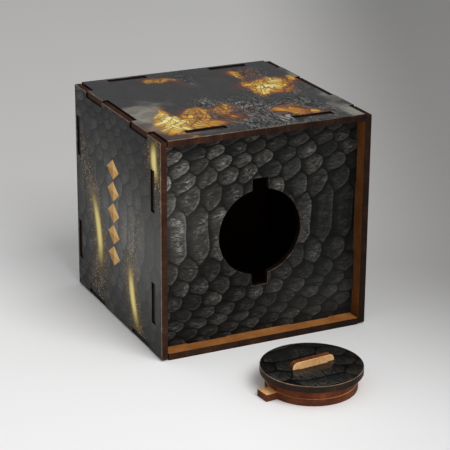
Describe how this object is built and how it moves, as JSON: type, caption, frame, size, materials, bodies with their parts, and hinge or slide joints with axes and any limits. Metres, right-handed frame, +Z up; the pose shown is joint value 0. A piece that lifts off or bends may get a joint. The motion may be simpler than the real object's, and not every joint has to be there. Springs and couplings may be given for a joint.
{
  "type": "money box",
  "caption": "Cube money box of finger-jointed printed board lying on its side, with a round bayonet hole in its recessed base and the twist-lock plug with a grip bar lying in front of it.",
  "frame": {"origin": "centre of the floor board's underside, on the surface that the box lies on", "axes": "+Z up as the box lies in the picture, -Y out of the base with the round hole, +X to the right of someone who faces that base"},
  "size_m": [0.1, 0.1673, 0.099],
  "materials": {
    "printed_board": "fibreboard with a satin charcoal scale print and burnt edges",
    "picture_board": "fibreboard with a satin charcoal, silver and gold print and burnt edges",
    "raw_board": "bare fibreboard, tan faces and reddish brown burnt edges"
  },
  "bodies": {
    "box": {"base_panel": "printed_board", "coin_slot_panel": "printed_board", "picture_panel": "picture_board", "floor_panel": "printed_board", "left_panel": "printed_board", "right_panel": "printed_board"},
    "plug": {"plug_lock_disc": "raw_board", "plug_spacer": "raw_board", "plug_cover": "printed_board", "plug_handle": "raw_board"}
  },
  "joints": [
    {"name": "plug_lift", "type": "slide", "parent": "box", "child": "plug", "axis": [0, 0, 1], "range_m": [0, 0.0445]}
  ]
}
